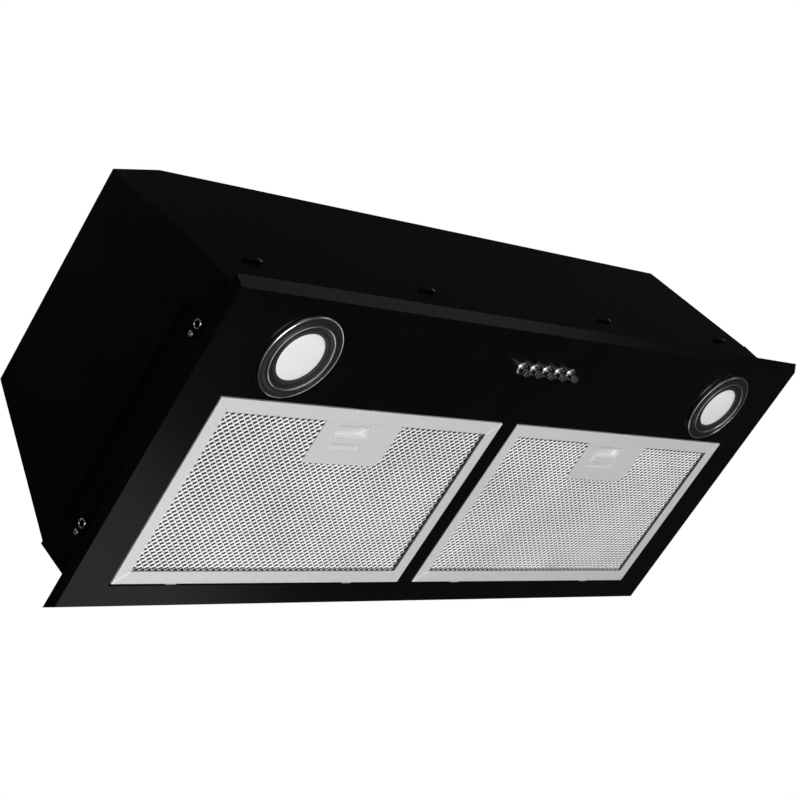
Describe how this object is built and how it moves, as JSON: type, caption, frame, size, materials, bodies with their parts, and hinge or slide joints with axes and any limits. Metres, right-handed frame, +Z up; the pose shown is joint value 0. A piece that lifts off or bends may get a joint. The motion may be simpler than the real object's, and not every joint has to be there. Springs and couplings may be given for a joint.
{
  "type": "built-in cooker hood",
  "caption": "Black built-in cooker hood with a flush underside panel, swing-down grease filters, push-button controls, round lamps and a round duct collar.",
  "frame": {"origin": "centre of the bottom panel's visible underside, in the plane of the cabinet cut-out", "axes": "+X to the right seen from the front, +Y to the back, +Z up into the cabinet; controls and lamps lie towards -Y"},
  "size_m": [0.73, 0.295, 0.2155],
  "materials": {
    "black_steel": "gloss black enamel",
    "galvanised_steel": "zinc coated sheet",
    "motor_steel": "plain steel can",
    "black_plastic": "moulded, satin",
    "zinc_screw": "bright zinc",
    "button_chrome": "polished",
    "lamp_bezel": "dark grey metallic",
    "lamp_diffuser": "frosted white",
    "filter_aluminium": "satin, folded sheet",
    "filter_mesh": "expanded metal",
    "filter_fibre": "grease pad",
    "spring_steel": "thin blade"
  },
  "bodies": {
    "hood": {"bottom_panel": "black_steel", "lower_frame": "black_steel", "front_cover": "black_steel", "rear_cover": "black_steel", "side_panel_left": "black_steel", "side_panel_right": "black_steel", "top_plate": "black_steel", "front_hooks": "black_steel", "scroll_housing": "galvanised_steel", "motor_bracket": "galvanised_steel", "outlet_collar": "galvanised_steel", "flap_pin": "galvanised_steel", "side_rivets": "galvanised_steel", "lamp_clips": "galvanised_steel", "motor": "motor_steel", "motor_capacitor": "motor_steel", "switch_box": "black_plastic", "terminal_box": "black_plastic", "cable_gland": "black_plastic", "top_screws": "zinc_screw", "collar_screws": "zinc_screw", "button_bezels": "button_chrome", "lamp_housing_left": "lamp_bezel", "lamp_housing_right": "lamp_bezel", "lamp_lens_left": "lamp_diffuser", "lamp_lens_right": "lamp_diffuser"},
    "filter_left": {"filter_frame_left": "filter_aluminium", "filter_mesh_left": "filter_mesh", "filter_media_left": "filter_fibre", "filter_handle_left": "filter_aluminium"},
    "latch_left": {"latch_slider_left": "filter_aluminium", "latch_tongue_left": "spring_steel"},
    "filter_right": {"filter_frame_right": "filter_aluminium", "filter_mesh_right": "filter_mesh", "filter_media_right": "filter_fibre", "filter_handle_right": "filter_aluminium"},
    "latch_right": {"latch_slider_right": "filter_aluminium", "latch_tongue_right": "spring_steel"},
    "impeller": {"impeller": "galvanised_steel", "motor_shaft": "galvanised_steel"},
    "flap_front": {"flap_front": "black_plastic"},
    "flap_rear": {"flap_rear": "black_plastic"},
    "button_1": {"button_1": "button_chrome"},
    "button_2": {"button_2": "button_chrome"},
    "button_3": {"button_3": "button_chrome"},
    "button_4": {"button_4": "button_chrome"},
    "button_5": {"button_5": "button_chrome"}
  },
  "joints": [
    {"name": "filter_left_swing", "type": "hinge", "parent": "hood", "child": "filter_left", "pos_m": [-0.1661, 0.1201, 0.0013], "axis": [1, 0, 0], "range_deg": [0, 60], "deforming": ["latch_tongue_left"]},
    {"name": "latch_left_slide", "type": "slide", "parent": "filter_left", "child": "latch_left", "axis": [0, 1, 0], "range_m": [0, 0.0045], "stiffness_N_per_m": 150, "springref_m": -0.004},
    {"name": "filter_right_swing", "type": "hinge", "parent": "hood", "child": "filter_right", "pos_m": [0.1661, 0.1201, 0.0013], "axis": [1, 0, 0], "range_deg": [0, 60], "deforming": ["latch_tongue_right"]},
    {"name": "latch_right_slide", "type": "slide", "parent": "filter_right", "child": "latch_right", "axis": [0, 1, 0], "range_m": [0, 0.0045], "stiffness_N_per_m": 150, "springref_m": -0.004},
    {"name": "impeller_spin", "type": "hinge", "parent": "hood", "child": "impeller", "pos_m": [0, -0.024, 0.088], "axis": [1, 0, 0], "continuous": true},
    {"name": "flap_front_hinge", "type": "hinge", "parent": "hood", "child": "flap_front", "pos_m": [0, -0.02, 0.188], "axis": [-1, 0, 0], "range_deg": [0, 78]},
    {"name": "flap_rear_hinge", "type": "hinge", "parent": "hood", "child": "flap_rear", "pos_m": [0, -0.02, 0.188], "axis": [1, 0, 0], "range_deg": [0, 78]},
    {"name": "button_1_press", "type": "slide", "parent": "hood", "child": "button_1", "axis": [0, 0, 1], "range_m": [0, 0.004], "stiffness_N_per_m": 150, "springref_m": -0.003},
    {"name": "button_2_press", "type": "slide", "parent": "hood", "child": "button_2", "axis": [0, 0, 1], "range_m": [0, 0.004], "stiffness_N_per_m": 150, "springref_m": -0.003},
    {"name": "button_3_press", "type": "slide", "parent": "hood", "child": "button_3", "axis": [0, 0, 1], "range_m": [0, 0.004], "stiffness_N_per_m": 150, "springref_m": -0.003},
    {"name": "button_4_press", "type": "slide", "parent": "hood", "child": "button_4", "axis": [0, 0, 1], "range_m": [0, 0.004], "stiffness_N_per_m": 150, "springref_m": -0.003},
    {"name": "button_5_press", "type": "slide", "parent": "hood", "child": "button_5", "axis": [0, 0, 1], "range_m": [0, 0.004], "stiffness_N_per_m": 150, "springref_m": -0.003}
  ]
}
